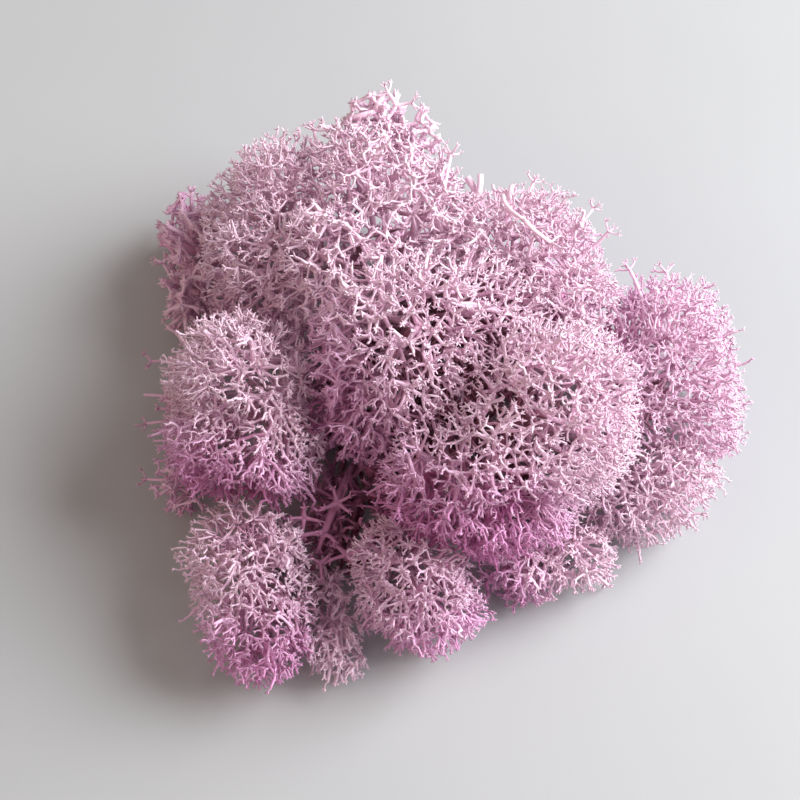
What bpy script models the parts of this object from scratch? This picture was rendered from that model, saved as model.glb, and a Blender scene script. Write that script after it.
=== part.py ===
"""A picked clump of preserved, dyed reindeer lichen: separate tufts packed together.

Each tuft is one branching plant that pulls out of the clump by hand. Here it is the closed form that
its branch tips fill: a few rounded lobes fused into one skin. The clump lies on a table, so the forms
are cut flat at the height of the table, and each keeps a hair's gap to its neighbours.

Lengths are written in millimetres. X runs left to right, Y away from the viewer, Z up.
"""

import bpy
import bmesh
from mathutils import Matrix, Vector

MM = 0.001

# How the lobes of a tuft are fused and shaped.
LOBE_DETAIL = 4             # subdivisions of each lobe's icosphere
SKIN_GRID = 2.0 * MM        # grid of the fused skin
LUMP_SPACING = 7.0 * MM     # distance between the small domes on a head
LUMP_HEIGHT = 3.6 * MM      # from the bottom of a dip to the top of a small dome
SKIN_SMOOTHING = 3          # passes that soften the folds between lobes
GAP = 0.50 * MM             # room between neighbouring tufts
FLOOR_SIDE = 400.0 * MM     # width of the block that cuts the feet flat
FLOOR_DEPTH = 60.0 * MM     # thickness of that block

# Colours of the dyed lichen, from the pale young tips to the saturated caps and the shaded stems.
COLOURS = {
    "pale_lilac": (0.76, 0.55, 0.66),
    "rose_lilac": (0.62, 0.36, 0.49),
    "magenta": (0.46, 0.17, 0.32),
    "grey_stem": (0.45, 0.38, 0.40),
}

# Each tuft: its colour, the share of the fused skin's triangles that it keeps, and its lobes as
# (centre, semi-axes). A tuft is cut back from the tufts above it in this list.
TUFTS = {
    "stem_core": ("grey_stem", 0.17, [
        ((-6, -4, 3), (22, 18, 8)),
        ((7, 11, 3), (17, 13, 8)),
        ((11, -15, 3), (13, 11, 7)),
        ((-15, -25, 6), (9, 9, 10)),
    ]),
    "front_dome": ("rose_lilac", 0.20, [
        ((15, -15, 27), (13.5, 14, 18)),
        ((7, -24, 24), (13, 12, 17)),
        ((-2, -25, 22), (9, 9.5, 15)),
        ((22, -16, 21), (7.5, 10, 13)),
    ]),
    "left_head": ("magenta", 0.21, [
        ((-32, -8, 24), (11.5, 10.5, 13.5)),
        ((-35.5, -17, 19), (9, 8.5, 12)),
        ((-28, -19, 20), (8.5, 8.5, 12)),
    ]),
    "right_head": ("rose_lilac", 0.21, [
        ((33.5, 0.5, 14), (12, 11.5, 16)),
        ((39.5, -8, 12), (8, 9.5, 13)),
        ((30, -8, 14), (10.5, 9.5, 15)),
    ]),
    "centre_crown": ("pale_lilac", 0.19, [
        ((-7, -5, 28), (15, 13.5, 18.5)),
        ((-13, -10, 23), (9, 10, 14)),
        ((4, 0, 26), (12, 11.5, 16.5)),
    ]),
    "crown_top": ("pale_lilac", 0.21, [
        ((-14, 23.5, 20), (12, 13, 20)),
        ((-6, 19, 21), (10.5, 11, 20)),
        ((-17, 10, 25), (11, 10, 17)),
    ]),
    "crown_right": ("pale_lilac", 0.19, [
        ((11.5, 13, 19), (12.5, 11.5, 20)),
        ((2, 12, 22), (9, 10, 18)),
        ((18.5, 4, 19), (10, 10, 17)),
    ]),
    "crown_left": ("pale_lilac", 0.21, [
        ((-27, 24.5, 17), (10.5, 10.5, 18)),
        ((-28, 12.5, 18), (11, 12, 18)),
        ((-34, 19.5, 13), (7, 10, 14)),
    ]),
    "right_lower_head": ("pale_lilac", 0.24, [
        ((35, -18.5, 9), (8.5, 8.5, 11)),
        ((28.5, -21.5, 9), (8.5, 8.5, 11)),
    ]),
    "middle_lower_head": ("magenta", 0.24, [
        ((-4.5, -39, 11), (9.5, 8.5, 13)),
        ((-8, -34, 13), (8, 8, 13)),
    ]),
    "left_lower_head": ("rose_lilac", 0.24, [
        ((-31.5, -33, 12), (9.5, 10, 13)),
        ((-29, -43.5, 9), (9, 8.5, 11)),
    ]),
    "right_lower_sprig": ("rose_lilac", 0.30, [
        ((20, -30.5, 7), (7.5, 6.5, 8.5)),
        ((12, -34, 6.5), (6.5, 6, 8)),
    ]),
    "bottom_sprig": ("grey_stem", 0.36, [
        ((-19, -46.5, 5), (5.5, 5.5, 6.5)),
        ((-20, -37, 5.5), (4, 7, 6.5)),
    ]),
    "back_left_sprig": ("magenta", 0.32, [
        ((-42.5, 25, 8), (6, 7.5, 10)),
        ((-42.5, 15, 7), (5, 8, 9)),
    ]),
    "left_skirt_sprig": ("magenta", 0.36, [
        ((-42.5, -3.5, 6), (4.5, 8, 7.5)),
        ((-42, -17, 6), (4.5, 8, 7.5)),
    ]),
    "top_sprig": ("pale_lilac", 0.45, [
        ((-11.5, 36.5, 30), (6.5, 3.8, 4.5)),
        ((-3.5, 32.5, 29), (4, 3.5, 4)),
    ]),
}


def clear_scene():
    for obj in list(bpy.data.objects):
        bpy.data.objects.remove(obj, do_unlink=True)


def new_collection(name):
    collection = bpy.data.collections.new(name)
    bpy.context.scene.collection.children.link(collection)
    return collection


def dyed_lichen(name, colour):
    material = bpy.data.materials.new(name)
    material.use_nodes = True
    shader = material.node_tree.nodes["Principled BSDF"]
    shader.inputs["Base Color"].default_value = (*colour, 1.0)
    shader.inputs["Roughness"].default_value = 0.85
    shader.inputs["Metallic"].default_value = 0.0
    return material


def lobes_mesh(name, lobes):
    """One mesh holding an icosphere for each lobe, scaled to the lobe's semi-axes."""
    bm = bmesh.new()
    for centre, semi_axes in lobes:
        place = Matrix.Translation(Vector(centre) * MM)
        stretch = Matrix.Diagonal((*(Vector(semi_axes) * MM), 1.0))
        bmesh.ops.create_icosphere(bm, subdivisions=LOBE_DETAIL, radius=1.0, matrix=place @ stretch)
    mesh = bpy.data.meshes.new(name)
    bm.to_mesh(mesh)
    bm.free()
    return mesh


def fuse_lobes(obj, kept_share, lumps):
    """Turns overlapping lobes into one closed, lumpy, softened skin."""
    remesh = obj.modifiers.new("fuse", "REMESH")
    remesh.mode = "VOXEL"
    remesh.voxel_size = SKIN_GRID
    dome = obj.modifiers.new("small_domes", "DISPLACE")
    dome.texture = lumps
    dome.texture_coords = "LOCAL"
    dome.strength = LUMP_HEIGHT
    dome.mid_level = 0.5
    soften = obj.modifiers.new("soften", "SMOOTH")
    soften.iterations = SKIN_SMOOTHING
    fewer = obj.modifiers.new("fewer_faces", "DECIMATE")
    fewer.ratio = kept_share


def inflated_copy(obj, collection):
    """A cutter a little larger than a tuft, so that the tuft's neighbour keeps its gap."""
    cutter = obj.copy()
    cutter.name = "cutter_" + obj.name
    collection.objects.link(cutter)
    grow = cutter.modifiers.new("grow", "DISPLACE")
    grow.strength = GAP
    grow.mid_level = 0.0
    hide_cutter(cutter)
    return cutter


def floor_block(collection):
    """The block under the table's surface that cuts each foot flat."""
    mesh = bpy.data.meshes.new("floor_block")
    bm = bmesh.new()
    sink = Matrix.Translation((0, 0, -FLOOR_DEPTH / 2))
    stretch = Matrix.Diagonal((FLOOR_SIDE, FLOOR_SIDE, FLOOR_DEPTH, 1))
    bmesh.ops.create_cube(bm, size=1.0, matrix=sink @ stretch)
    bm.to_mesh(mesh)
    bm.free()
    block = bpy.data.objects.new("floor_block", mesh)
    collection.objects.link(block)
    hide_cutter(block)
    return block


def hide_cutter(obj):
    obj.hide_render = True
    obj.display_type = "WIRE"


def cut(obj, cutter):
    boolean = obj.modifiers.new("cut_by_" + cutter.name, "BOOLEAN")
    boolean.operation = "DIFFERENCE"
    boolean.solver = "EXACT"
    boolean.use_self = True     # a grown cutter may fold over itself a little in a tight crease
    boolean.object = cutter


def box_of(obj):
    """Lowest and highest corner of an object as the viewport shows it."""
    evaluated = obj.evaluated_get(bpy.context.evaluated_depsgraph_get())
    corners = [evaluated.matrix_world @ Vector(corner) for corner in evaluated.bound_box]
    low = Vector(min(corner[axis] for corner in corners) for axis in range(3))
    high = Vector(max(corner[axis] for corner in corners) for axis in range(3))
    return low, high


def boxes_meet(first, second):
    (low_a, high_a), (low_b, high_b) = first, second
    return all(low_a[i] < high_b[i] and low_b[i] < high_a[i] for i in range(3))


def centre_over_origin(tufts, helpers):
    """Moves the whole clump so that the origin is the middle of its outline, on the table."""
    boxes = [box_of(tuft) for tuft in tufts]
    low = Vector(min(box[0][axis] for box in boxes) for axis in range(3))
    high = Vector(max(box[1][axis] for box in boxes) for axis in range(3))
    shift = Vector((-(low.x + high.x) / 2, -(low.y + high.y) / 2, 0.0))
    for obj in [*tufts, *helpers]:
        obj.location += shift
    print("moved by", [round(value / MM, 2) for value in shift], "mm")


def build():
    clear_scene()
    clump = new_collection("moss_clump")
    cutters = new_collection("cutters")
    materials = {name: dyed_lichen(name, colour) for name, colour in COLOURS.items()}

    lumps = bpy.data.textures.new("small_domes", "CLOUDS")
    lumps.noise_scale = LUMP_SPACING
    lumps.noise_depth = 0

    floor = floor_block(cutters)
    tufts = []
    helpers = []
    for name, (colour, kept_share, lobes) in TUFTS.items():
        tuft = bpy.data.objects.new(name, lobes_mesh(name, lobes))
        tuft.data.materials.append(materials[colour])
        clump.objects.link(tuft)
        fuse_lobes(tuft, kept_share, lumps)
        bpy.context.view_layer.update()
        own_box = box_of(tuft)
        cutter = inflated_copy(tuft, cutters)
        for earlier, earlier_box in helpers:
            if boxes_meet(own_box, earlier_box):
                cut(tuft, earlier)
        cut(tuft, floor)
        tufts.append(tuft)
        bpy.context.view_layer.update()
        helpers.append((cutter, box_of(cutter)))

    bpy.context.view_layer.update()
    centre_over_origin(tufts, [helper for helper, _ in helpers])


build()
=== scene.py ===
# %% [markdown]
# # A clump of dyed reindeer lichen
#
# The real object is a handful of preserved reindeer lichen, dyed lilac. It looks like moss, but each
# tuft is one small bush: a pale stem forks three to five ways, each fork does the same again, and the
# last twigs end in little hands of pointed fingers. The tufts are only tangled together.
#
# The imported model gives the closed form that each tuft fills. This lesson grows a bush of tubes
# inside each of those forms, and then gives it a dyed finish.
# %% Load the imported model
import math

import bmesh
import bpy
import numpy as np
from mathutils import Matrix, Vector, kdtree
from mathutils.bvhtree import BVHTree


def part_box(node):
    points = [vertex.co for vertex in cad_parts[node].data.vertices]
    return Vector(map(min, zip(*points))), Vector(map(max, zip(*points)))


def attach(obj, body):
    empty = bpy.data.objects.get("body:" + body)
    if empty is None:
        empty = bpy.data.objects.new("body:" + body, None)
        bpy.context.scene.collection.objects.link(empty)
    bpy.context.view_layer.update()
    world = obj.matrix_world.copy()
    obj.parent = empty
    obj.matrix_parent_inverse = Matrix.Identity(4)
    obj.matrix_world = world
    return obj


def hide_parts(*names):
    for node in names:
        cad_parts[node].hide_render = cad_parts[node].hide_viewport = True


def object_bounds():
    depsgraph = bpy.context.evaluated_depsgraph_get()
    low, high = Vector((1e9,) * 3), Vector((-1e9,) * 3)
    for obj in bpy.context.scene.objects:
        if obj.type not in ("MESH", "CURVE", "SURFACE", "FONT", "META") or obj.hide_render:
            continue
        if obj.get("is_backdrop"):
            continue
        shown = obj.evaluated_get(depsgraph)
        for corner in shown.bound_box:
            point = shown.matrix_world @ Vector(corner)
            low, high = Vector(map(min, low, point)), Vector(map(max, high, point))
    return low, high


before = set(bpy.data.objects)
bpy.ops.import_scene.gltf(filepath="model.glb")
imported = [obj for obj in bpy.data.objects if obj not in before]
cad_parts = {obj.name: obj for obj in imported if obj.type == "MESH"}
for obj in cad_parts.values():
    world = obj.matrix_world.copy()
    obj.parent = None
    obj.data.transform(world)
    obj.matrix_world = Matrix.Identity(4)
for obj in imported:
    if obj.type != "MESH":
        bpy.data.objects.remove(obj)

MM = 0.001
cad_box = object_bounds()
low, high = (np.array(corner) for corner in cad_box)
print("clump, mm:", np.round((high - low) / MM, 1))

# %% [markdown]
# ## What makes one tuft differ from the next
#
# A tuft has a root, where its stem was torn from the ground, and a cap, the side that grew towards
# the light. Near the cap the tips stand close together, and near the root they are wide apart, so
# that the pale stems show. The dye has its own way, because it settled while the clump dried.
# A row says where the root is inside the tuft's own box (0 is its low side and 1 its high side),
# which way the cap faces, how far apart the hands are at the cap and at the root side, which way the
# dye settled, how much the two ends of that way hold, how stout the twigs are, and how clearly a
# dark seam parts the tuft from its neighbours.
# %% The tufts
TUFTS = {
    # name: (record slot, root, cap way, hand spacing in mm, dye way, dye, stoutness, seam)
    "centre_crown": ("pale_lilac", (0.4, 0.75, 0.1), (0.7, -0.5, 0.3), (1.25, 1.75),
                     (-0.9, -0.5, -0.4), (0.05, 0.6), 1.02, 0.1),
    "crown_left": ("pale_lilac", (0.75, 0.55, 0.05), (-0.9, 0.1, 0.3), (1.25, 1.7),
                   (-0.3, -0.6, -0.7), (0.08, 0.5), 0.94, 0.6),
    "crown_top": ("pale_lilac", (0.55, 0.7, 0.05), (-0.7, 0.5, 0.2), (1.3, 1.7),
                  (-0.5, 0.3, -0.8), (0.05, 0.32), 0.98, 0.1),
    "crown_right": ("pale_lilac", (0.45, 0.8, 0.05), (0.8, -0.5, 0.2), (1.2, 1.65),
                    (0.6, 0.2, -0.7), (0.05, 0.38), 0.96, 0.2),
    "front_dome": ("rose_lilac", (0.25, 0.6, 0.2), (0.8, -0.5, 0.1), (0.82, 1.5),
                   (-0.4, -1.0, -0.45), (0.08, 0.85), 0.94, 0.4),
    "left_head": ("magenta", (0.75, 0.8, 0.3), (-0.6, -0.8, 0.1), (0.84, 1.7),
                  (-0.35, -1.0, -0.35), (0.03, 0.78), 0.97, 1.6),
    "right_head": ("rose_lilac", (0.25, 0.45, 0.1), (0.8, -0.2, 0.5), (0.88, 1.4),
                   (-0.9, 0.3, -0.3), (0.24, 0.76), 0.9, 0.9),
    "right_lower_head": ("pale_lilac", (0.45, 0.85, 0.1), (0.3, -0.6, 0.7), (0.88, 1.3),
                         (-0.3, 0.2, -0.9), (0.04, 0.25), 0.9, 0.4),
    "left_lower_head": ("rose_lilac", (0.55, 0.9, 0.1), (-0.1, -0.8, 0.4), (0.88, 1.65),
                        (0.0, -1.0, -0.3), (0.14, 0.66), 0.94, 0.9),
    "middle_lower_head": ("magenta", (0.45, 0.9, 0.1), (0.1, -0.7, 0.7), (0.84, 1.35),
                          (0.2, -0.6, -0.6), (0.25, 0.7), 0.9, 0.9),
    "bottom_sprig": ("grey_stem", (0.5, 0.95, 0.1), (0.0, -0.8, 0.6), (1.15, 1.5),
                     (0.0, -0.3, -1.0), (0.04, 0.2), 1.05, 0.8),
    "right_lower_sprig": ("rose_lilac", (0.5, 0.9, 0.2), (-0.2, -0.8, 0.6), (1.15, 1.6),
                          (-0.6, -0.6, -0.2), (0.05, 0.62), 1.05, 1.0),
    "back_left_sprig": ("magenta", (0.8, 0.4, 0.1), (-0.7, 0.3, 0.5), (2.6, 3.0),
                        (-0.6, 0.5, -0.2), (0.25, 0.45), 1.4, 0.8),
    "left_skirt_sprig": ("magenta", (0.8, 0.5, 0.1), (-0.9, 0.0, 0.4), (1.8, 2.1),
                         (-0.5, 0.0, -0.8), (0.35, 0.65), 1.1, 0.8),
    "top_sprig": ("pale_lilac", (0.45, 0.15, 0.1), (-0.1, 0.6, 0.7), (2.6, 3.0),
                  (0.0, 0.0, -1.0), (0.12, 0.35), 1.4, 0.0),
    # The stem core's high dye is painted shade that darkens the deep gap between the heads.
    "stem_core": ("grey_stem", (0.5, 0.55, 0.05), (0.0, -0.4, 0.9), (2.7, 3.1),
                  (0.0, 0.2, 1.0), (0.45, 0.66), 1.4, 1.8),
}
print(len(TUFTS), "tufts")

# %% [markdown]
# ## Where the tips may stand
#
# The tufts have grown into each other, so the tips stand on one outer skin that wraps all the packed
# solids and bridges the narrow seams between them. A voxel remesh fuses the solids, and growing the
# result outwards, fusing it again and shrinking it back closes the seams but keeps the wide gaps.
# %% The outer skin of the whole clump
WRAP_GRID = 1.2 * MM
WRAP_GROW = 1.1 * MM    # seams narrower than about twice this are bridged


def wrap_solids():
    """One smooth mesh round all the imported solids."""
    solids = bmesh.new()
    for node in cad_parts.values():
        solids.from_mesh(node.data)
    mesh = bpy.data.meshes.new("wrap")
    solids.to_mesh(mesh)
    solids.free()
    wrap = bpy.data.objects.new("wrap", mesh)
    bpy.context.scene.collection.objects.link(wrap)
    for step in (WRAP_GROW, -WRAP_GROW):
        fuse = wrap.modifiers.new("fuse", "REMESH")
        fuse.mode = "VOXEL"
        fuse.voxel_size = WRAP_GRID
        soften = wrap.modifiers.new("soften", "SMOOTH")
        soften.iterations = 2
        grow = wrap.modifiers.new("grow", "DISPLACE")
        grow.strength = step
        grow.mid_level = 0.0
    soften = wrap.modifiers.new("soften", "SMOOTH")
    soften.iterations = 3
    wrapped = bpy.data.meshes.new_from_object(wrap.evaluated_get(bpy.context.evaluated_depsgraph_get()))
    bpy.data.objects.remove(wrap)
    return corners_of(wrapped)


def corners_of(mesh):
    """The corners of each triangle of a mesh."""
    mesh.calc_loop_triangles()
    places = np.empty(len(mesh.vertices) * 3)
    mesh.vertices.foreach_get("co", places)
    corners = np.empty(len(mesh.loop_triangles) * 3, int)
    mesh.loop_triangles.foreach_get("vertices", corners)
    return places.reshape(-1, 3)[corners].reshape(-1, 3, 3)


def search_faces(corners):
    """A search tree of triangles."""
    return BVHTree.FromPolygons(corners.reshape(-1, 3).tolist(),
                                np.arange(len(corners) * 3).reshape(-1, 3).tolist())


wrap = wrap_solids()
wrap_faces = search_faces(wrap)
print("outer skin of", len(wrap), "triangles")

# %% [markdown]
# Points are scattered over a skin by area, many more than are needed, and later thinned out. Where a
# skin faces the table no light came, and the real plant has few tips there, so each point also looks
# straight out of its skin to see how much room it has.
# %% Scattering points over a skin
def unit(vectors):
    """The same directions, one long."""
    return vectors / np.maximum(np.linalg.norm(vectors, axis=-1, keepdims=True), 1e-12)


def scatter(corners, spacing, rng):
    """Random points on a skin, CROWD of them for each hand, and the way out at each."""
    crosses = np.cross(corners[:, 1] - corners[:, 0], corners[:, 2] - corners[:, 0])
    areas = np.linalg.norm(crosses, axis=1) / 2
    count = int(CROWD * areas.sum() / spacing**2)
    chosen = rng.choice(len(areas), count, p=areas / areas.sum())
    a, b = rng.random((2, count, 1))
    flip = a + b > 1
    a, b = np.where(flip, 1 - a, a), np.where(flip, 1 - b, b)
    first, second, third = corners[chosen].transpose(1, 0, 2)
    return first + a * (second - first) + b * (third - first), unit(crosses[chosen])


CROWD = 8
solids = {name: corners_of(node.data) for name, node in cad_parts.items()}
solid_faces = search_faces(np.concatenate(list(solids.values())))
owner = np.repeat(np.arange(len(solids)), [len(corners) for corners in solids.values()])
names = list(solids)

# %% How much room a point has
REACH = 11 * MM         # with this much room a tip is in the open
CLEAR = 0.3 * MM        # a ray starts this far out of its own skin


def room(points, ways):
    """From 0, against the table or deep in a gap, to 1, in the open."""
    seen = np.empty(len(points))
    for i, (point, way) in enumerate(zip(points, ways)):
        to_table = point[2] / -way[2] if way[2] < -0.05 else REACH
        hit = wrap_faces.ray_cast(Vector(point + way * CLEAR), Vector(way), REACH)[3]
        seen[i] = min(to_table, REACH if hit is None else hit)
    return seen / REACH


# %% [markdown]
# Light fades quickly inside a clump, so the finish paints the colour darker there: painted shade. How
# deep a point lies is its distance from the nearest bit of outer skin that stands in the open. A bit of
# skin looks straight out and six ways round about, because the bottom of a narrow gap is dark too.
# %% How much light a point gets
OPEN = 0.62             # skin with more room than this stands in the open
AIR_SPACING = 2.4 * MM  # between the places that look for room
FADE = 6.0 * MM         # over this depth the light falls to about a third
LOOK_ROUND = 6          # ways round about
LOOK_LEAN = 0.9         # how far they lean, as a slope


def sideways(ways, rng):
    """A random direction square to each way."""
    other = rng.normal(size=ways.shape)
    return unit(other - (other * ways).sum(-1, keepdims=True) * ways)


def openness(points, ways, rng):
    """The mean room straight out of the skin and round about."""
    side = sideways(ways, rng)
    other = np.cross(ways, side)
    seen = room(points, ways)
    for turn in np.arange(LOOK_ROUND) * 2 * math.pi / LOOK_ROUND:
        lean = LOOK_LEAN * (math.cos(turn) * side + math.sin(turn) * other)
        seen = seen + room(points, unit(ways + lean))
    return seen / (1 + LOOK_ROUND)


def open_air():
    """A search tree of the outer skin's points that stand in the open."""
    rng = np.random.default_rng(0)
    points, ways = scatter(wrap, AIR_SPACING, rng)
    in_open = openness(points, ways, rng) > OPEN
    print(int(in_open.sum()), "of", len(points), "bits of outer skin stand in the open")
    return search_tree(points[in_open])


def search_tree(points):
    tree = kdtree.KDTree(len(points))
    for i, point in enumerate(points):
        tree.insert(point, i)
    tree.balance()
    return tree


def light_at(points):
    """The light value, from 1 at the open skin down towards 0 deep in the clump; the finish paints shade
    from it.
    """
    depth = np.array([air.find(point)[2] for point in points.reshape(-1, 3)])
    return np.exp(-depth / FADE).reshape(points.shape[:-1])


air = open_air()

# %% Thinning points out
def thin_out(points, spacing, rng):
    """Which points stay when each keeps its own spacing clear, taken in random order."""
    tree = search_tree(points)
    free = np.ones(len(points), bool)
    kept = []
    for i in rng.permutation(len(points)):
        if free[i]:
            kept.append(i)
            free[[found[1] for found in tree.find_range(points[i], spacing[i])]] = False
    return np.array(kept)


# %% [markdown]
# ## From the tips back to the root
#
# Grown from the root outwards, the twigs would bunch up in some places and leave others bare. So the
# bush is worked out backwards. Neighbouring tips are gathered in threes to fives, and their fork is
# set a little below them, towards the root. The forks are then gathered in the same way, each time
# wider apart, until one stem is left. The real plant looks like that when it is sliced: rings of
# forks, each ring deeper and coarser than the last.
# %% Gathering ends into forks
GATHER = 1.68           # a fork's spacing over the spacing of the ends that it joins
DROP = 0.48             # how far a fork lies below its ends, over its spacing
SHAKE = 0.16            # how far a fork strays, over its spacing
INWARD = 0.25           # how much more each ring of forks drops towards the root than the last
LONGEST_DROP = 0.6      # over the way that is left to the root
LOWEST_FORK = 0.6 * MM  # above the table


def forks_below(ends, ways, spacing, root, depth, rng):
    """Fork places, their ways up and spacing, and for each end the fork that it joins."""
    kept = thin_out(ends, spacing * GATHER, rng)
    tree = search_tree(ends[kept])
    joins = np.array([tree.find(end)[1] for end in ends])
    members = np.bincount(joins)[:, None]
    mean = np.stack([np.bincount(joins, ends[:, i]) for i in range(3)], 1) / members
    up = unit(np.stack([np.bincount(joins, ways[:, i]) for i in range(3)], 1))
    wider = spacing[kept] * GATHER
    home = root - mean
    far = np.linalg.norm(home, axis=1, keepdims=True)
    inward = min(1.0, INWARD * (1 + depth))
    down = unit((1 - inward) * -up + inward * unit(home))
    fall = np.minimum(wider[:, None] * DROP, far * LONGEST_DROP)
    places = mean + down * fall + rng.normal(size=mean.shape) * wider[:, None] * SHAKE
    places[:, 2] = np.maximum(places[:, 2], LOWEST_FORK)
    return places, unit(0.5 * up - 0.5 * down), wider, joins


# %% [markdown]
# ## Tubes
#
# Every stem, twig and finger is a tube that bends and tapers. A curve object with a bevel could make
# one, but there are tens of thousands, so they are made together as arrays: rings of points round
# each path, joined by four-sided faces, with a closed start and a pointed end. Where arms meet in a
# fork they are wide and flat, like the web between two fingers. Each corner also gets a place on a
# map. Across it runs the dye, and up it runs the light, from 0 deep in the clump to 1 at its open
# skin, so that the material can paint both.
# %% Bending and tapering paths
def bend(starts, start_ways, ends, end_ways, rings):
    """Smooth paths that leave each start one way and reach each end another way."""
    t = np.linspace(0, 1, rings)[None, :, None]
    reach = np.linalg.norm(ends - starts, axis=1)[:, None, None]
    a, b = starts[:, None], ends[:, None]
    leave, arrive = start_ways[:, None] * reach, end_ways[:, None] * reach
    return ((2 * t**3 - 3 * t**2 + 1) * a + (t**3 - 2 * t**2 + t) * leave
            + (3 * t**2 - 2 * t**3) * b + (t**3 - t**2) * arrive)


# %% Collecting the tubes of one tuft
MAP_WIDTH = 0.02        # how much of the map's width the corners of one tube spread over
# Climbing up the map also paints a tube lighter towards its outer end: a faint painted highlight.
MAP_RISE = 0.006        # how far a tube climbs up the map besides, so that its faces have height there
TABLE_CLEAR = 0.02 * MM     # the lowest that any point of the clump may lie


class Bush:
    """All tubes of one tuft, gathered until they are made into one mesh."""

    def __init__(self, rng):
        self.rng = rng
        self.places = []
        self.faces = []
        self.count = 0

    def add(self, paths, radii, sides, dye, light, point=1.0, across=None, wide=1.0):
        """paths is (tubes, rings, 3); radii, dye and light are (tubes, rings); wide is (rings,)."""
        tubes, rings = paths.shape[:2]
        along = unit(np.gradient(paths, axis=1))
        if across is None:
            across = sideways(along[:, rings // 2], self.rng)
        across = across[:, None]
        across = unit(across - (across * along).sum(-1, keepdims=True) * along)
        other = np.cross(along, across)
        turn = np.arange(sides) * 2 * math.pi / sides
        stretch = np.broadcast_to(wide, rings)[None, :, None, None]
        ring = (np.cos(turn)[:, None] * across[:, :, None] * stretch
                + np.sin(turn)[:, None] * other[:, :, None] / np.sqrt(stretch))
        skin_points = paths[:, :, None] + radii[:, :, None, None] * ring
        first = self.count + np.arange(tubes)[:, None, None] * (rings * sides + 1)
        corner = first + (np.arange(rings) * sides)[None, :, None] + np.arange(sides)[None, None]
        after = np.roll(corner, -1, axis=2)
        tip = first[:, 0, 0] + rings * sides
        tips = paths[:, -1] + along[:, -1] * (radii[:, -1] * point)[:, None]
        tube_points = np.concatenate([skin_points.reshape(tubes, -1, 3), tips[:, None]], 1)
        self.places.append(tube_points.reshape(-1, 3))
        self.count += tubes * (rings * sides + 1)
        # The walls. On the map, u is the dye with a little width and v is the light.
        u0 = dye[:, :, None] + np.arange(sides) / sides * MAP_WIDTH
        u1 = u0 + MAP_WIDTH / sides
        v = np.repeat(light[:, :, None], sides, 2)
        wall = np.stack([corner[:, :-1], after[:, :-1], after[:, 1:], corner[:, 1:]], -1)
        wall_map = np.stack([np.stack([u0[:, :-1], u1[:, :-1], u1[:, 1:], u0[:, 1:]], -1),
                             np.stack([v[:, :-1], v[:, :-1], v[:, 1:], v[:, 1:]], -1)], -1)
        self.faces.append((wall.reshape(-1, 4), wall_map.reshape(-1, 4, 2)))
        top = np.stack([corner[:, -1], after[:, -1], np.repeat(tip[:, None], sides, 1)], -1)
        # The pointed end gets a little more light on the map: a faint painted highlight.
        tip_light = np.minimum(v[:, -1] + 0.02, 1.0)
        top_map = np.stack([np.stack([u0[:, -1], u1[:, -1], (u0[:, -1] + u1[:, -1]) / 2], -1),
                            np.stack([v[:, -1], v[:, -1], tip_light], -1)], -1)
        self.faces.append((top.reshape(-1, 3), top_map.reshape(-1, 3, 2)))
        start = corner[:, 0, ::-1]
        around = np.stack([np.cos(turn), np.sin(turn)], -1)[::-1] * MAP_WIDTH / 2
        start_map = np.stack([dye[:, :1], light[:, :1]], -1) + around
        self.faces.append((start, start_map))

    def add_spikes(self, starts, ends, radii, dye, light):
        """Plain pointed spikes with three sides, for twigs too fine to show a bend."""
        count = len(starts)
        along = unit(ends - starts)
        across = sideways(along, self.rng)
        other = np.cross(along, across)
        turn = (np.arange(3) * 2 * math.pi / 3)[:, None]
        ring = np.cos(turn) * across[:, None] + np.sin(turn) * other[:, None]
        base = starts[:, None] + ring * radii[:, None, None]
        self.places.append(np.concatenate([base, ends[:, None]], 1).reshape(-1, 3))
        corner = self.count + np.arange(count)[:, None] * 4 + np.arange(4)
        self.count += count * 4
        u = dye[:, None] + [0, 0.33 * MAP_WIDTH, 0.67 * MAP_WIDTH, 0.5 * MAP_WIDTH]
        # A spike's point gets a little more light on the map: a faint painted highlight.
        v = light[:, None] + [0, 0.01, 0, 0.05]
        for side in ((0, 1, 3), (1, 2, 3), (2, 0, 3), (2, 1, 0)):
            self.faces.append((corner[:, side], np.stack([u[:, side], v[:, side]], -1)))

    def mesh(self, name):
        """One mesh with every tube, shaded smooth, and its map."""
        mesh = bpy.data.meshes.new(name)
        places = np.concatenate(self.places)
        places[:, 2] = np.maximum(places[:, 2], TABLE_CLEAR)
        mesh.vertices.add(len(places))
        mesh.vertices.foreach_set("co", places.astype(np.float32).ravel())
        corners = np.concatenate([face.ravel() for face, _ in self.faces])
        lengths = np.concatenate([np.full(len(face), face.shape[1]) for face, _ in self.faces])
        mesh.loops.add(len(corners))
        mesh.loops.foreach_set("vertex_index", corners.astype(np.int32))
        mesh.polygons.add(len(lengths))
        mesh.polygons.foreach_set("loop_start", (np.cumsum(lengths) - lengths).astype(np.int32))
        mesh.update(calc_edges=True)
        mesh.shade_smooth()
        layer = mesh.uv_layers.new(name="OFBake")
        spots = np.concatenate([place.reshape(-1, 2) for _, place in self.faces])
        layer.uv.foreach_set("vector", np.clip(spots, 0, 1).astype(np.float32).ravel())
        triangles_made = int((lengths - 2).sum())
        return mesh, triangles_made


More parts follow.
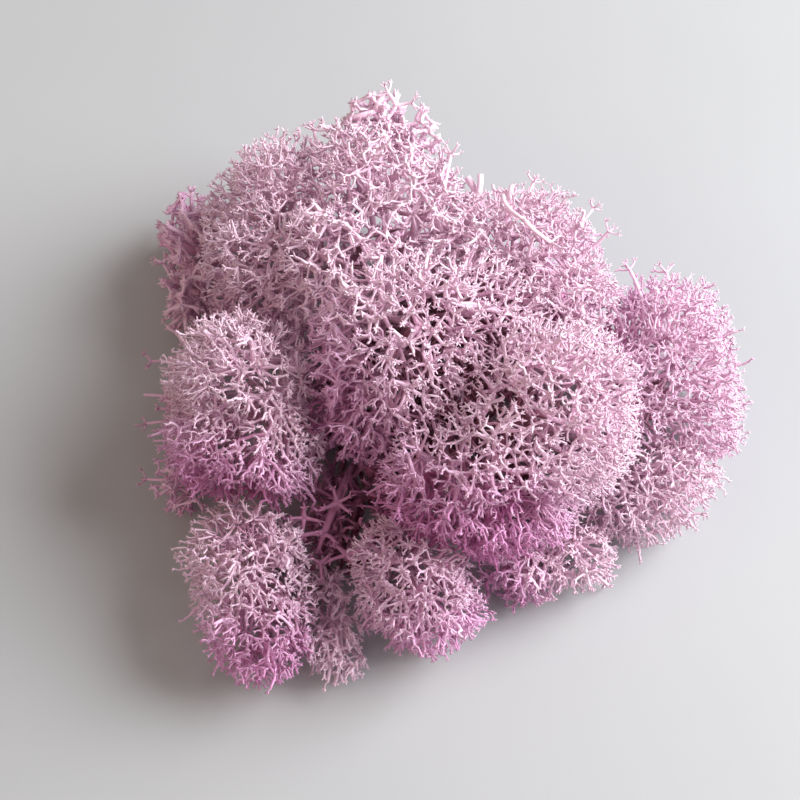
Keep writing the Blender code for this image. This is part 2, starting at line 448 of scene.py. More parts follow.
# %% [markdown]
# ## Hands of fingers
#
# The last twigs end in hands: three to six pointed fingers that spread and then bend up like claws.
# They are what the eye sees most of, and there are thousands, so all the hands of a tuft are made in
# one go.
# %% Making the hands
FINGER_LENGTH = 0.46    # over the spacing of the hands
LONGEST = 1.5 * MM      # hands that stand wider apart than this get no longer fingers
FINE = 1.15 * MM        # hands closer than this have plain spikes for fingers
FEW = (3, 3, 3, 4)      # how many fingers a hand may have in the open parts
MANY = (4, 4, 5, 6)     # and on a cap
FINGER_LEAN = (0.7, 1.7)
FINGER_LENGTHS = (0.65, 1.3)    # over the usual length
SPIKE_LONGER = 0.45     # a spike is longer and wider than a finger, because its point is fine
SPIKE_WIDER = 1.2


def finger_length(spacing):
    """The usual length of a finger."""
    return np.minimum(spacing, LONGEST) * FINGER_LENGTH


def grow_hands(bush, palms, ways, spacing, dye, light, twig, capped, rng, least=0.0):
    """Pointed fingers on each palm; twig is its radius. Hands closer than least get plain spikes too."""
    on_cap = rng.random(len(palms)) < capped
    count = np.where(on_cap, rng.choice(MANY, len(palms)), rng.choice(FEW, len(palms)))
    hand = np.repeat(np.arange(len(palms)), count)
    number = np.arange(len(hand)) - np.repeat(np.cumsum(count) - count, count)
    side = sideways(ways, rng)
    other = np.cross(ways, side)
    turn = (number / count[hand] * 2 * math.pi + rng.normal(size=len(hand)) * 0.35)[:, None]
    out = np.cos(turn) * side[hand] + np.sin(turn) * other[hand]
    lean = rng.uniform(*FINGER_LEAN, (len(hand), 1))
    leave = unit(ways[hand] * 0.4 + out * lean)
    length = finger_length(spacing)[hand, None] * rng.uniform(*FINGER_LENGTHS, (len(hand), 1))
    start = palms[hand] - ways[hand] * twig[hand, None] * 0.4
    end = start + length * unit(ways[hand] + out * lean * 0.8)
    thick = twig[hand] * rng.uniform(0.8, 1.0, len(hand))
    fine = spacing[hand] < max(FINE, least)
    spike_ends = end + (end - start) * SPIKE_LONGER
    spiky = hand[fine]
    bush.add_spikes(start[fine], spike_ends[fine], thick[fine] * SPIKE_WIDER, dye[spiky], light[spiky])
    if fine.all():
        return
    stout = hand[~fine]
    paths = bend(start[~fine], leave[~fine], end[~fine], ways[stout], 2)
    taper = np.array([1.0, 0.7]) * thick[~fine, None]
    # A finger's end gets a little more light: a faint painted highlight.
    painted_finger_light = light[stout, None] + [0.0, 0.03]
    bush.add(paths, taper, 3, np.repeat(dye[stout, None], 2, 1), painted_finger_light, point=2.2)


# %% [markdown]
# ## Forks and their windows
#
# In this lichen the middle of a fork is often open: the arms leave from the rim of a small window.
# Each wide fork gets such a rim, a thin loop that ties its arms together a little above the fork.
# %% The rims of the windows
RIM = 0.42              # where the rim crosses the shortest arm
RIM_RADIUS = 0.75       # over the radius of the arms
RIM_DEPTHS = (0, 1, 2)
RIM_LEAST = 1.9 * MM    # forks with shorter arms have no window


def fork_rims(places, ways, ends, joins, rng):
    """For each fork with three arms or more: its number and a closed loop through its arms."""
    order = np.argsort(joins, kind="stable")
    members = np.bincount(joins, minlength=len(places))
    first = np.cumsum(members) - members
    for fork in np.flatnonzero(members >= 3):
        mine = order[first[fork]:first[fork] + members[fork]]
        arms = ends[mine] - places[fork]
        reach = np.linalg.norm(arms, axis=1)
        if reach.mean() < RIM_LEAST:
            continue
        side = sideways(ways[fork][None], rng)[0]
        angle = np.arctan2(arms @ np.cross(ways[fork], side), arms @ side)
        around = np.argsort(angle)
        spots = places[fork] + arms[around] * (RIM * reach.min() / reach[around])[:, None]
        between = (spots + np.roll(spots, -1, axis=0)) / 2
        between += (places[fork] - between) * 0.25
        loop = np.stack([spots, between], 1).reshape(-1, 3)
        yield fork, np.concatenate([loop, loop[:1]])


def grow_rims(bush, places, ways, ends, joins, radius, dye, rng):
    """The rims of one ring of forks."""
    for fork, loop in fork_rims(places, ways, ends, joins, rng):
        rings = len(loop)
        light = light_at(loop)[None] + 0.01 * np.arange(rings) / rings
        bush.add(loop[None], np.full((1, rings), radius[fork] * RIM_RADIUS), 3,
                 np.full((1, rings), dye[fork]), light)


# %% [markdown]
# Neighbouring forks also grow together where they touch, so an open head looks like a net. A lace is
# a thin arm between two forks that lie next to each other, and it sags a little between them.
# %% Laces between neighbouring forks
LACE_RADIUS = 0.90      # over the radius of the arms
LACE_LONGEST = 1.35     # over the spacing of the forks
LACE_RINGS = 4
LACE_LIGHT = 0.45       # where less light comes than this there are none
LACE_DEPTHS = (0, 1)    # only the two outermost rings of forks are tied
FORK_LACES = (2.5 * MM, 0.75)   # least spacing of the forks, and the share of neighbours that are tied
HAND_LACES = (1.5 * MM, 0.50)   # the same for hands in the open parts


def grow_laces(bush, places, ways, spacing, radius, dye, kind, rng):
    """Arms between forks or hands that are neighbours in the open."""
    least, share = kind
    open_ones = np.flatnonzero((spacing > least) & (light_at(places) > LACE_LIGHT))
    if len(open_ones) < 3:
        return
    tree = search_tree(places[open_ones])
    pairs = set()
    for i in open_ones:
        for _, j, far in tree.find_n(places[i], 4)[1:]:
            j = open_ones[j]
            if far < LACE_LONGEST * spacing[i] and rng.random() < share:
                pairs.add((min(i, j), max(i, j)))
    if not pairs:
        return
    first, second = np.array(sorted(pairs)).T
    reach = places[second] - places[first]
    dip = -0.5 * (ways[first] + ways[second]) + rng.normal(size=reach.shape) * 0.4
    leave, arrive = unit(unit(reach) + dip * 0.5), unit(unit(reach) - dip * 0.5)
    paths = bend(places[first], leave, places[second], arrive, LACE_RINGS)
    t = np.linspace(0, 1, LACE_RINGS)
    near_ends = (2 * t - 1) ** 4
    thick = LACE_RADIUS * (radius[first] + radius[second])[:, None] / 2
    tone = dye[first][:, None] * (1 - t) + dye[second][:, None] * t
    light = light_at(paths) + MAP_RISE * t
    bush.add(paths, thick * (1 + 0.7 * near_ends), 4, tone, light, wide=1 + 0.8 * near_ends)


# %% [markdown]
# ## Choosing the ends
#
# The hands on the skin come first. Small swells, a few millimetres wide, lift some and sink others,
# so that the head isn't smooth. Side twigs that stopped growing fill the inside, and they are what
# makes the gaps between the hands dark.
# %% Swells
SWELL_WAVES = 9
SWELL_LENGTHS = (3.5, 8)    # shortest and longest wave, in mm
SWELL_HEIGHT = 0.95 * MM
PROUD = 0.35 * MM       # how far the finger tips stand out of the solid on average


def swell(points):
    """A gentle random height between about -1 and 1 that changes every few millimetres."""
    rng = np.random.default_rng(5)
    ways = unit(rng.normal(size=(SWELL_WAVES, 3)))
    lengths = rng.uniform(*SWELL_LENGTHS, SWELL_WAVES) * MM
    turns = points @ (ways / lengths[:, None]).T * 2 * math.pi + rng.uniform(0, 6.28, SWELL_WAVES)
    return np.sin(turns).sum(-1) / math.sqrt(SWELL_WAVES)


def smooth_step(values, start, end):
    """0 below start, 1 above end and smooth between."""
    t = np.clip((values - start) / (end - start), 0, 1)
    return t * t * (3 - 2 * t)


def share_skin():
    """Points of the outer skin shared out to the nearest solids: places, ways out, room, owner."""
    points, ways = scatter(wrap, SKIN_SPACING, np.random.default_rng(1))
    nearest = [solid_faces.find_nearest(point)[2] for point in points]
    return points, ways, room(points, ways), owner[nearest]


SKIN_SPACING = 1.1 * MM
outer = share_skin()
print(len(outer[0]), "places for hands")


# %% [markdown]
# A dark seam parts most heads from their neighbours, because the heads are round. The nearer a tip
# stands to a neighbouring tuft, the further it sinks. A few hands, mostly away from the cap, lead:
# they have grown past their neighbours and make the outline ragged.
# %% Hands on the skin
CAP_EDGE = (-0.1, 0.75)     # agreement with the cap's way where a cap starts and where it is full
ROUGH = 0.25 * MM       # how unevenly the hands end
LEADERS = 0.09          # share of the hands that lead
LEAD = 2.4 * MM         # how far the longest of them stands out
CROWDED = (0.55, 0.95)  # from here to here, with 1 for no room at all, the hands get sparser
SPARSER = 0.6           # and stand this much further apart in the end
TIGHT = 0.85            # where it is more crowded than this no hand stands proud
SEAM_WIDTH = 4.0 * MM
SEAM_DEPTH = 4.2 * MM


def seam_depth(name, tips):
    """How far each tip sinks because another tuft is near, more where both have clear seams."""
    other = outer[3] != names.index(name)
    others = search_tree(outer[0][other])
    found = [others.find(tip) for tip in tips]
    near = 1 - np.array([far for _, _, far in found]) / SEAM_WIDTH
    neighbour = outer[3][other][[index for _, index, _ in found]]
    clear = (TUFTS[name][-1] + np.array([TUFTS[name][-1] for name in names])[neighbour]) / 2
    return clear * SEAM_DEPTH * np.maximum(near, 0) ** 2


def skin_hands(name, root, cap, spacings, rng):
    """Places, ways out and spacing of the hands on a tuft's skin."""
    tips, out, clear = (values[outer[3] == names.index(name)] for values in outer[:3])
    capped = smooth_step(unit(tips - root) @ cap, *CAP_EDGE)
    crowded = 1 - clear
    spacing = (spacings[1] + (spacings[0] - spacings[1]) * capped) * MM
    spacing *= 1 + SPARSER * smooth_step(crowded, *CROWDED)
    kept = thin_out(tips, spacing, rng)
    tips, out, spacing = tips[kept], out[kept], spacing[kept]
    rise = PROUD + SWELL_HEIGHT * swell(tips) + rng.normal(size=len(tips)) * ROUGH
    leads = rng.random(len(tips)) < LEADERS * (1 - 0.6 * capped[kept])
    rise += leads * rng.uniform(0.3, 1.0, len(tips)) * LEAD
    rise = np.where(crowded[kept] > TIGHT, np.minimum(rise, 0), rise) - seam_depth(name, tips)
    return tips + out * rise[:, None], out, spacing, capped[kept]


# %% Side twigs inside
INNER_NEAR = 0.8 * MM   # the first of them lie this deep
INNER_FAR = 13.0 * MM   # and the last this deep
INNER_SHARE = 0.85      # but none lies deeper than this share of the way to the root
INNER_STRAY = 0.4 * MM
SKIN_CLEAR = 1.3 * MM   # all of them lie this far below the outer skin
INNER_SPACING = (1.32 * MM, 4.0 * MM)   # the first and the last
LOWEST_HAND = 0.5 * MM  # above the table


def inner_ends(name, root, rng):
    """Places, ways and spacing of side twigs that end inside the tuft."""
    skin, out = scatter(solids[name], SKIN_SPACING, rng)
    share = rng.random(len(skin))
    home = root - skin
    far = np.linalg.norm(home, axis=1)
    deep = np.minimum(INNER_NEAR + (INNER_FAR - INNER_NEAR) * share, far * INNER_SHARE)
    places = skin + unit(home) * deep[:, None]
    places += rng.normal(size=places.shape) * INNER_STRAY
    places[:, 2] = np.maximum(places[:, 2], LOWEST_HAND)
    below = np.array([wrap_faces.find_nearest(place)[3] for place in places]) > SKIN_CLEAR
    places, out, share = places[below], out[below], share[below]
    spacing = INNER_SPACING[0] + (INNER_SPACING[1] - INNER_SPACING[0]) * share
    kept = thin_out(places, spacing, rng)
    ways = unit(0.8 * out[kept] + rng.normal(size=(len(kept), 3)) * 0.5)
    return places[kept], ways, spacing[kept]


# %% [markdown]
# Three places are hollow. The tips there lie further in, and added dye paints them darker as painted shade
# in the hollow.
# %% Hollows
def in_box(name, share):
    """A place given as shares of a tuft's own box."""
    box_low, box_high = (np.array(corner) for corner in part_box(name))
    return box_low + (box_high - box_low) * share


HOLLOWS = {
    # name: (place in the tuft's own box, width and depth in mm, added dye that paints shade)
    "front_dome": ((0.53, 0.13, 0.66), 7.5, 8.5, 0.6),
    "left_lower_head": ((0.4, 0.74, 0.85), 10.0, 8.5, 0.22),
    "stem_core": ((0.19, 0.12, 0.9), 12.0, 9.0, 0.1),
}


def sink_hollow(name, tips, root):
    """Tips moved in where a tuft has a hollow, and the dye added there as painted shade."""
    if name not in HOLLOWS:
        return tips, np.zeros(len(tips))
    place, width, depth, dye = HOLLOWS[name]
    away = np.linalg.norm(tips - in_box(name, place), axis=1) / (width * MM)
    down = (1 - np.clip(away, 0, 1) ** 2) ** 2
    return tips + unit(root - tips) * (down * depth * MM)[:, None], dye * down


print("hollows in:", *HOLLOWS)

# %% [markdown]
# Some old stems stand out of the clump. A few were broken off blunt when it was picked, and others
# still fork into an open star of arms with a hand on each. Both ends of such a stem are given as
# shares of its tuft's own box, so a share below 0 reaches out of it.
# %% Old stems that stand out
STEMS = {
    # name: (start, end, radius in mm, how many arms its star has; 0 for a broken end)
    "top_sprig": (
        ((0.44, 0.02, 0.05), (0.36, 0.42, 0.6), 0.42, 3),
        ((0.36, 0.42, 0.6), (0.5, 0.6, 0.78), 0.36, 0),
        ((0.5, 0.6, 0.78), (0.42, 0.76, 0.9), 0.33, 4),
        ((0.5, 0.6, 0.78), (0.66, 0.64, 0.8), 0.28, 4),
        ((0.36, 0.42, 0.6), (0.74, 0.4, 0.66), 0.36, 5),
        ((0.04, 0.52, 0.6), (0.31, 0.55, 0.72), 0.52, 0),
        ((0.31, 0.55, 0.72), (0.41, 0.78, 0.86), 0.48, 0),
    ),
    "crown_right": (
        ((0.33, 0.7, 0.74), (0.25, 0.93, 0.8), 0.6, 0),
        ((0.385, 0.66, 0.78), (0.37, 0.86, 0.84), 0.28, 0),
        ((0.46, 0.6, 0.78), (0.46, 0.83, 0.88), 0.46, 0),
        ((0.41, 0.74, 0.93), (0.5, 0.56, 1.0), 0.38, 0),
        ((0.5, 0.56, 1.0), (0.63, 0.46, 0.95), 0.36, 3),
        ((0.6, 0.64, 0.66), (0.68, 0.86, 0.76), 0.28, 4),
        ((0.53, 0.66, 0.7), (0.57, 0.89, 0.82), 0.28, 4),
        ((0.72, 0.6, 0.6), (0.87, 0.82, 0.69), 0.26, 4),
        ((0.76, 0.5, 0.66), (0.93, 0.64, 0.76), 0.26, 4),
    ),
    "right_head": (
        ((0.3, 0.62, 0.7), (0.15, 0.86, 0.82), 0.32, 4),
        ((0.4, 0.7, 0.75), (0.33, 0.95, 0.84), 0.32, 4),
        ((0.58, 0.72, 0.72), (0.55, 0.97, 0.77), 0.3, 4),
        ((0.72, 0.7, 0.62), (0.79, 0.93, 0.66), 0.28, 4),
    ),
    "crown_top": (
        ((0.92, 0.44, 0.74), (0.98, 0.62, 0.8), 0.5, 0),
        ((0.8, 0.5, 0.8), (0.84, 0.68, 0.86), 0.3, 4),
        ((0.28, 0.7, 0.55), (0.18, 0.96, 0.62), 0.3, 4),
    ),
    "back_left_sprig": (
        ((0.8, 0.3, 0.2), (0.78, 0.78, 0.66), 0.44, 4),
        ((0.7, 0.35, 0.2), (0.22, 0.68, 0.55), 0.4, 4),
        ((0.6, 0.3, 0.2), (0.08, 0.5, 0.45), 0.34, 4),
        ((0.6, 0.12, 0.15), (0.28, 0.2, 0.3), 0.38, 4),
        ((0.9, 0.55, 0.3), (0.6, 0.92, 0.5), 0.36, 4),
    ),
    "left_skirt_sprig": (
        ((0.85, 0.9, 0.4), (-0.25, 0.95, 0.45), 0.26, 3),
        ((0.85, 0.72, 0.4), (-0.35, 0.75, 0.4), 0.26, 0),
        ((0.85, 0.62, 0.35), (-0.3, 0.58, 0.35), 0.26, 3),
        ((0.8, 0.3, 0.3), (-0.25, 0.25, 0.28), 0.26, 3),
    ),
    "stem_core": (
        ((0.24, 0.34, 0.3), (0.15, 0.08, 0.85), 0.6, 4),
        ((0.26, 0.22, 0.2), (0.22, 0.03, 0.75), 0.55, 4),
        ((0.12, 0.28, 0.3), (0.09, 0.12, 0.9), 0.5, 4),
        ((0.16, 0.1, 0.1), (0.19, 0.16, 0.95), 0.5, 4),
        ((0.08, 0.02, 0.1), (0.14, 0.01, 0.7), 0.45, 3),
    ),
    "right_lower_sprig": (
        ((0.5, 0.7, 0.2), (0.3, 0.2, 0.8), 0.42, 4),
        ((0.55, 0.7, 0.2), (0.72, 0.25, 0.75), 0.4, 4),
        ((0.4, 0.6, 0.2), (0.1, 0.45, 0.6), 0.34, 4),
    ),
}
STEM_RINGS = 6
STEM_SIDES = 7
STAR_RINGS = 5
STAR_TAPER = np.array([0.80, 0.66, 0.60, 0.56, 0.56])   # radius of a star's arm over its stem's
STAR_FLARE = (1.5, 1.2, 1, 1, 1)    # how flat it is
STAR_HAND = 1.7 * MM    # the spacing that a hand on a star is made for
print(sum(len(stems) for stems in STEMS.values()), "old stems")


def grow_stems(bush, name, dye, rng):
    """The old stems of a tuft and the stars at their ends."""
    t = np.linspace(0, 1, STEM_RINGS)
    for start, end, radius, arms in STEMS.get(name, ()):
        start, end = in_box(name, start)[None], in_box(name, end)[None]
        way = unit(end - start)
        curl = sideways(way, rng) * 0.5
        path = bend(start, unit(way + curl), end, unit(way - curl * 0.6), STEM_RINGS)
        knobs = 1.12 - 0.22 * t + rng.normal(size=STEM_RINGS) * 0.05
        tone = np.full((1, STEM_RINGS), dye)
        light = light_at(path) + MAP_RISE * t
        bush.add(path, radius * MM * knobs[None], STEM_SIDES, tone, light, point=0.25)
        if arms:
            grow_star(bush, end, unit(way - curl * 0.6), radius * MM, arms, dye, rng)


def grow_star(bush, centre, way, radius, arms, dye, rng):
    """Arms that spread from the end of a stem, with a hand on each."""
    side = sideways(way, rng)
    turn = ((np.arange(arms) + rng.uniform(-0.2, 0.2, arms)) * 2 * math.pi / arms)[:, None]
    out = np.cos(turn) * side + np.sin(turn) * np.cross(way, side)
    length = radius * rng.uniform(4.0, 6.5, (arms, 1))
    start = np.repeat(centre, arms, 0)
    end_way = unit(way * 0.9 + out * 0.7)
    path = bend(start, unit(out + way * 0.3), start + length * unit(out + way * 0.55), end_way, STAR_RINGS)
    radii = radius * STAR_TAPER[None] * rng.uniform(0.85, 1.1, (arms, 1))
    tone = np.full((arms, STAR_RINGS), dye)
    light = light_at(path) + MAP_RISE * np.arange(STAR_RINGS)
    bush.add(path, radii, 5, tone, light, across=unit(np.cross(way, out)), wide=STAR_FLARE)
    grow_hands(bush, path[:, -1], end_way, np.full(arms, STAR_HAND), tone[:, 0], light[:, -1],
               radii[:, -1] * 0.85, np.full(arms, 0.7), rng)


# %% [markdown]
# ## Growing a tuft
#
# Now the parts come together. The forks are gathered ring by ring. Each arm leaves its fork
# sideways and then turns up, like the arm of a candlestick, and each one is a little thicker than
# the arms that it carries.
# %% One ring of arms
TWIG = 0.180 * MM       # radius of a twig where the hands are COMMON apart
COMMON = 1.35 * MM
THICKEN = 1.26          # a branch's radius over the radius of those that it carries
FLARE = 1.55            # how wide an arm is where it leaves the fork
RINGS_BY_DEPTH = (3, 4, 5, 6, 7, 8)     # of the arms, from the tips down to the root
SIDES_BY_DEPTH = (3, 4, 5, 6, 8, 8)
DYE_EDGE = (-0.1, 0.75)     # where the dye starts and where it is full, from the middle to the end
MOST_DYE = 0.97


def grow_arms(bush, places, up, ends, ways, joins, radius, depth, dyes, rng):
    """Bent, tapering arms from each fork to the ends that joined it."""
    rings = RINGS_BY_DEPTH[min(depth, len(RINGS_BY_DEPTH) - 1)]
    sides = SIDES_BY_DEPTH[min(depth, len(SIDES_BY_DEPTH) - 1)]
    arms = ends - places[joins]
    axis = up[joins]
    flat = arms - (arms * axis).sum(1, keepdims=True) * axis
    leave = unit(unit(flat) * 0.75 + unit(arms) * 0.6 + axis * 0.1)
    paths = bend(places[joins], leave, ends, ways, rings)
    wobble = rng.normal(size=paths.shape) * radius[:, None, None] * 0.45
    wobble[:, [0, -1]] = 0
    paths += wobble
    paths[:, :, 2] = np.maximum(paths[:, :, 2], radius[:, None] * 1.1)
    t = np.linspace(0, 1, rings)
    shape = THICKEN * (1 - t) ** 2 + (1 - (1 - t) ** 2) + 0.2 * t**4
    radii = shape * radius[:, None] * rng.uniform(0.85, 1.15, (len(ends), 1))
    dye = dyes[0][joins][:, None] * (1 - t) + dyes[1][:, None] * t
    light = light_at(paths) + MAP_RISE * t
    across = unit(np.cross(axis, leave) + 1e-9)
    bush.add(paths, radii, sides, dye, light, across=across, wide=1 + (FLARE - 1) * (1 - t) ** 3)


def first_member(joins):
    """For each fork, the number of one of the ends that joined it."""
    return np.unique(joins, return_index=True)[1]


# %% The whole tuft
def dye_of(name, points, ends_of_dye, way):
    """How much dye each point holds, from where it lies along the way that the dye settled."""
    box_low, box_high = (np.array(corner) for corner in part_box(name))
    way = unit(np.array(way, float))
    along = (points - (box_low + box_high) / 2) @ way
    reach = np.abs(way) @ (box_high - box_low) / 2
    t = smooth_step(along / reach, *DYE_EDGE)
    return ends_of_dye[0] + (ends_of_dye[1] - ends_of_dye[0]) * t


def grow(name, seed):
    """One tuft's mesh and how many triangles it has."""
    _, root, cap, spacings, dye_way, dye_ends, stout, _ = TUFTS[name]
    rng = np.random.default_rng(seed)
    root = in_box(name, root)
    cap = unit(np.array(cap, float))
    tips, out, spacing, capped = skin_hands(name, root, cap, spacings, rng)
    tips, hollow_shade_dye = sink_hollow(name, tips, root)
    ways = unit(0.7 * out + 0.4 * unit(tips - root) + rng.normal(size=tips.shape) * 0.35)
    palms = tips - ways * (finger_length(spacing) * 0.9)[:, None]
    palms[:, 2] = np.maximum(palms[:, 2], LOWEST_HAND)
    tone = dye_of(name, palms, dye_ends, dye_way) + hollow_shade_dye
    tone = np.clip(tone + rng.normal(size=len(tone)) * 0.05, 0, MOST_DYE)
    inner, inner_ways, inner_spacing = inner_ends(name, root, rng)
    inner_tone = np.clip(dye_of(name, inner, dye_ends, dye_way), 0, MOST_DYE)

    bush = Bush(rng)
    twig = TWIG * stout * (spacing / COMMON) ** 0.5
    inner_twig = np.full(len(inner), TWIG * stout)
    grow_hands(bush, palms, ways, spacing, tone, light_at(palms), twig, capped, rng)
    grow_hands(bush, inner, inner_ways, inner_spacing * 0.8, inner_tone, light_at(inner), inner_twig,
               np.zeros(len(inner)), rng, least=INNER_SPACING[1])
    grow_laces(bush, palms, ways, spacing, twig, tone, HAND_LACES, rng)
    grow_stems(bush, name, dye_ends[0], rng)
    ends = np.concatenate([palms, inner])
    ways = np.concatenate([ways, inner_ways])
    spacing = np.concatenate([spacing, inner_spacing])
    tone = np.concatenate([tone, inner_tone])
    radius, depth = np.concatenate([twig, inner_twig]), 0
    while len(ends) > 1:
        if len(ends) <= 4:
            places, up, wider = root[None], unit(cap[None] + [[0, 0, 0.5]]), spacing[:1] * GATHER
            joins = np.zeros(len(ends), int)
        else:
            places, up, wider, joins = forks_below(ends, ways, spacing, root, depth, rng)
        members = np.bincount(joins, minlength=len(places))
        below = np.bincount(joins, tone, len(places)) / members
        thick = np.bincount(joins, radius, len(places)) / members * THICKEN
        grow_arms(bush, places, up, ends, ways, joins, radius, depth, (below, tone), rng)
        if depth in RIM_DEPTHS:
            grow_rims(bush, places, up, ends, joins, thick / THICKEN, below, rng)
        if depth in LACE_DEPTHS:
            grow_laces(bush, places, up, wider, radius[first_member(joins)], below, FORK_LACES, rng)
        ends, ways, spacing, tone = places, up, wider, below
        radius, depth = thick, depth + 1

    mesh, made = bush.mesh(name)
    print(f"{name}: {len(palms)} hands, {len(inner)} inside, {depth} rings of forks, {made} triangles")
    return mesh, made


# %% [markdown]
# ## The dyed finish and its painted shade
#
# Preserved lichen is soaked in dye and dries unevenly. The tips in the open keep a whitish pink and
# the caps that lay in the dye are magenta, while the inside is painted darker and deeper, nearly black
# deep in the clump: painted shade. The map on every tube holds the dye and the light, so the colour is
# an expression of these two numbers. A small class lets that be written as arithmetic.
# %% Writing shader maths as expressions
class Sock:
    """A socket that can be added, multiplied and so on. Each operation adds a Math node."""

    def __init__(self, tree, socket):
        self.tree = tree
        self.socket = socket

    def maths(self, operation, *values):
        return self.tree.node("ShaderNodeMath", {"operation": operation}, values)

    def __add__(self, other):
        return self.maths("ADD", self, other)

    def __rsub__(self, other):
        return self.maths("SUBTRACT", other, self)

    def __mul__(self, other):
        return self.maths("MULTIPLY", self, other)

    __radd__ = __add__
    __rmul__ = __mul__

    def ramp(self, start, end):
        """0 below start, 1 above end and smooth between."""
        values = {"Value": self, "From Min": start, "From Max": end}
        return self.tree.node("ShaderNodeMapRange", {"interpolation_type": "SMOOTHSTEP"}, values)


class Finish:
    """A material's node tree, with one method that adds any node."""

    def __init__(self, name):
        self.material = bpy.data.materials.new(name)
        self.material.use_nodes = True
        self.nodes = self.material.node_tree.nodes
        self.links = self.material.node_tree.links
        self.shader = self.nodes["Principled BSDF"]

    def set(self, socket, value):
        """Links a socket to another, or gives it a plain value."""
        if isinstance(value, Sock):
            self.links.new(value.socket, socket)
        else:
            socket.default_value = value

    def node(self, kind, settings=None, values=(), output=0):
        """Adds a node, sets its settings first, then its sockets by name or in order."""
        node = self.nodes.new(kind)
        for setting, value in (settings or {}).items():
            setattr(node, setting, value)
        named = values.items() if isinstance(values, dict) else enumerate(values)
        for key, value in named:
            self.set(node.inputs[key], value)
        return Sock(self, node.outputs[output])

    def mix(self, share, first, second):
        """A colour between two colours."""
        node = self.nodes.new("ShaderNodeMix")
        node.data_type = "RGBA"
        for index, value in ((0, share), (6, first), (7, second)):
            self.set(node.inputs[index], value)
        return Sock(self, node.outputs[2])

    def end(self, **sockets):
        """Sets the shader's sockets, with _ for a space, and gives the material."""
        for name, value in sockets.items():
            self.set(self.shader.inputs[name.replace("_", " ")], value)
        return self.material


# %% [markdown]
# With more dye, a tip in the open turns from whitish pink to lilac and magenta, and the painted
# shade of the inside from pink to dark magenta. Deep in the clump both go dark red, as painted
# shade. Fine streaks run along the twigs.
# The old stems at the bottom get a copy with less light, so they are painted in deeper shade all through.
# %% Dyed lichen
PALE_TIP = (0.95, 0.71, 0.84, 1)
LILAC = (0.91, 0.54, 0.79, 1)
MAGENTA = (0.72, 0.24, 0.54, 1)
# The inside's colours below are painted shade, used where the light value is low.
PALE_PAINTED_SHADE = (0.95, 0.64, 0.81, 1)
DARK_PAINTED_SHADE = (0.54, 0.14, 0.35, 1)
DEEPEST_PAINTED_SHADE = (0.24, 0.05, 0.09, 1)
STREAKS = (260, 34, 1)  # over the map's width and height


def dye_and_painted_shade(name, painted_light_scale):
    """The finish of a tuft; the second argument scales the light value, and below 1 it paints deeper shade.
    """
    finish = Finish(name)
    place = finish.node("ShaderNodeUVMap", {"uv_map": "OFBake"})
    dye = finish.node("ShaderNodeSeparateXYZ", values=[place])
    light = finish.node("ShaderNodeSeparateXYZ", values=[place], output=1) * painted_light_scale
    spread = finish.node("ShaderNodeVectorMath", {"operation": "MULTIPLY"}, [place, STREAKS])
    grain = finish.node("ShaderNodeTexNoise", values={"Vector": spread, "Scale": 1.0, "Detail": 2.0})
    streak = grain.ramp(0.35, 0.68)
    tip = finish.mix(dye.ramp(0.08, 0.55), PALE_TIP, LILAC)
    tip = finish.mix(dye.ramp(0.45, 0.95), tip, MAGENTA)
    inside = finish.mix(dye.ramp(0.05, 0.70), PALE_PAINTED_SHADE, DARK_PAINTED_SHADE)
    # Deep in the clump, where the light value is lowest, the inside goes nearly black: painted shade.
    inside = finish.mix(light.ramp(0.04, 0.33), DEEPEST_PAINTED_SHADE, inside)
    # Where the light value is high the tip colours show, lower down the painted shade of the inside.
    colour = finish.mix(light.ramp(0.22, 0.86), inside, tip)
    colour = finish.mix(streak * 0.14, colour, inside)
    return finish.end(Base_Color=colour, Roughness=0.86 - 0.12 * streak, Sheen_Weight=0.12)


lichen = dye_and_painted_shade("dye_and_painted_shade", 1.0)
# A copy with the light value scaled to 0.42, painted in deeper shade all through.
painted_shade_lichen = dye_and_painted_shade("painted_shade_lichen", 0.42)
print("nodes in the finish:", len(lichen.node_tree.nodes))

# %% [markdown]
# ## Making the sixteen pieces
#
# Each tuft is one piece. It rides on the clump's only body and stands for its imported solid, which is
# hidden.
# %% Growing them
total = 0
for seed, name in enumerate(TUFTS):
    mesh, made = grow(name, seed)
    # The stem core takes the copy in deeper painted shade, which darkens the gap it fills.
    mesh.materials.append(painted_shade_lichen if name == "stem_core" else lichen)
    piece = bpy.data.objects.new(name + "_branches", mesh)
    bpy.context.scene.collection.objects.link(piece)
    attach(piece, "root")
    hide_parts(name)
    total += made
print("triangles in all:", total)

# %% [markdown]
# ## Table, light and camera
#
# The clump lies on a pale, slightly glossy table. One soft light, like a window, stands to the right
# and a little behind, so the shadow falls to the left. A second one, wider, fainter and warmer, like
# the rest of a room, stands to the left, and an even fill from all round keeps the shadow open. The
# camera looks down steeply from the front.
# %% The table
size = high - low
middle = (low + high) / 2
TABLE_SIDE = 8.0
TABLE_GREY = (0.455, 0.465, 0.475, 1)
TABLE_PALE = (0.48, 0.49, 0.50, 1)


def table_top():
    """Faint clouds of two greys, a little duller where it is paler."""
    finish = Finish("pale_table")
    place = finish.node("ShaderNodeTexCoord", output=3)
    cloud = finish.node("ShaderNodeTexNoise", values={"Vector": place, "Scale": 9.0, "Detail": 3.0})
    colour = finish.mix(cloud.ramp(0.3, 0.7), TABLE_GREY, TABLE_PALE)
    return finish.end(Base_Color=colour, Roughness=0.42 + 0.06 * cloud)


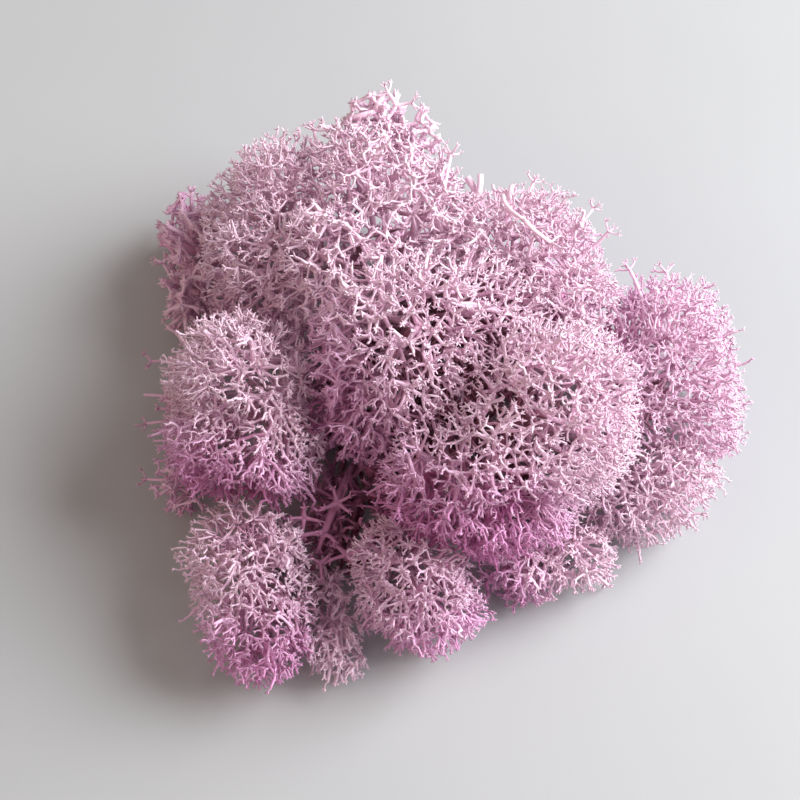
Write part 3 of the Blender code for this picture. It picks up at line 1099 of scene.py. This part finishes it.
half = TABLE_SIDE / 2
corners = [(-half, -half, 0), (half, -half, 0), (half, half, 0), (-half, half, 0)]
mesh = bpy.data.meshes.new("table")
mesh.from_pydata(corners, [], [(0, 1, 2, 3)])
mesh.materials.append(table_top())
table = bpy.data.objects.new("table", mesh)
bpy.context.scene.collection.objects.link(table)
table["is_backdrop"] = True
print("table, m:", TABLE_SIDE)

# %% The light
LIGHTS = {
    # name: (place, width in m, power in W, colour)
    "window": ((0.54, 0.14, 0.43), 0.60, 10.4, (0.96, 0.98, 1.0)),
    "room": ((-0.90, -0.35, 0.85), 1.30, 3.2, (1.0, 0.66, 0.46)),
}
FILL = (1.0, 0.95, 0.93, 1)
FILL_STRENGTH = 0.29


def soft_light(name, place, width, power, colour):
    """A round lamp that faces the middle of the clump."""
    lamp = bpy.data.lights.new(name, "AREA")
    lamp.shape = "DISK"
    lamp.size = width
    lamp.energy = power
    lamp.color = colour
    light = bpy.data.objects.new(name, lamp)
    light.location = place
    light.rotation_euler = (Vector(middle) - Vector(place)).to_track_quat("-Z", "Y").to_euler()
    bpy.context.scene.collection.objects.link(light)
    print(name, "light:", power, "W")


for name, settings in LIGHTS.items():
    soft_light(name, *settings)
world = bpy.data.worlds.new("studio")
world.use_nodes = True
world.node_tree.nodes["Background"].inputs["Color"].default_value = FILL
world.node_tree.nodes["Background"].inputs["Strength"].default_value = FILL_STRENGTH
bpy.context.scene.world = world

# %% The camera
ELEVATION = math.radians(68)
LENS = 85.0
SENSOR = 36.0
VIEW_WIDTH = size[0] * 1.30
AIM = np.array([-0.0735 * size[0], -0.048 * size[1], 0.48 * size[2]])

eye = bpy.data.cameras.new("camera")
eye.lens = LENS
eye.sensor_width = SENSOR
camera = bpy.data.objects.new("camera", eye)
distance = VIEW_WIDTH * LENS / SENSOR
aim = Vector(AIM)
camera.location = aim + Vector((0, -math.cos(ELEVATION), math.sin(ELEVATION))) * distance
camera.rotation_euler = (math.pi / 2 - ELEVATION, 0, 0)
bpy.context.scene.collection.objects.link(camera)
bpy.context.scene.camera = camera
bpy.context.scene.view_settings.view_transform = "Standard"
print("camera, mm:", [round(value / MM) for value in camera.location])

# %% [markdown]
# ## The sizes
#
# The branches may stand only a little proud of the imported solids, so both boxes are printed.
# %% Sizes
boxes = {"cad": [list(corner) for corner in cad_box], "visual": [list(corner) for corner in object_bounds()]}
for name, (box_low, box_high) in boxes.items():
    print(name, "box, mm:", np.round(np.array(box_low) / MM, 1), np.round(np.array(box_high) / MM, 1))
